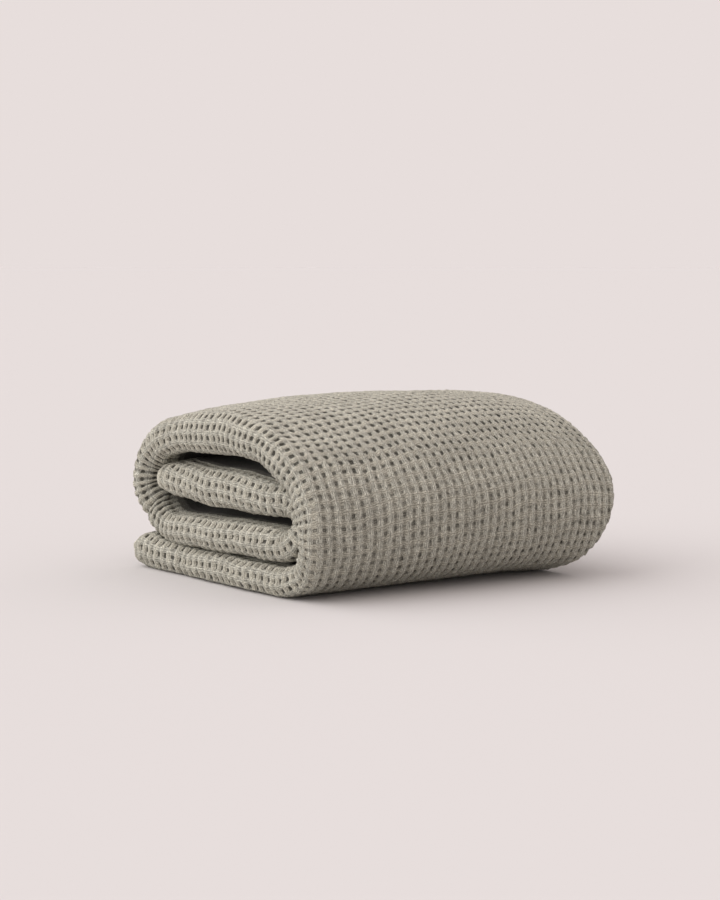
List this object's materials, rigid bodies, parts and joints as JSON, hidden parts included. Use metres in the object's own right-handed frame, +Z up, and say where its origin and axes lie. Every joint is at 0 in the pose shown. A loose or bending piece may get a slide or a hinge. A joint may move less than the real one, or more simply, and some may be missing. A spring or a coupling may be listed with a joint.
{
  "type": "folded linen waffle blanket",
  "caption": "Thick linen waffle blanket, folded lengthwise into a soft strip and rolled flat into a rounded bundle with a free tail underneath.",
  "frame": {"origin": "centre of the bounding box, on the table surface", "axes": "+Z up; X along the roll, with the open end that shows the spiral facing -X; the long smooth face faces -Y"},
  "size_m": [0.3696, 0.3578, 0.1829],
  "materials": {
    "waffle_linen": "matte waffle weave"
  },
  "bodies": {
    "root": {"blanket": "waffle_linen"}
  },
  "joints": []
}
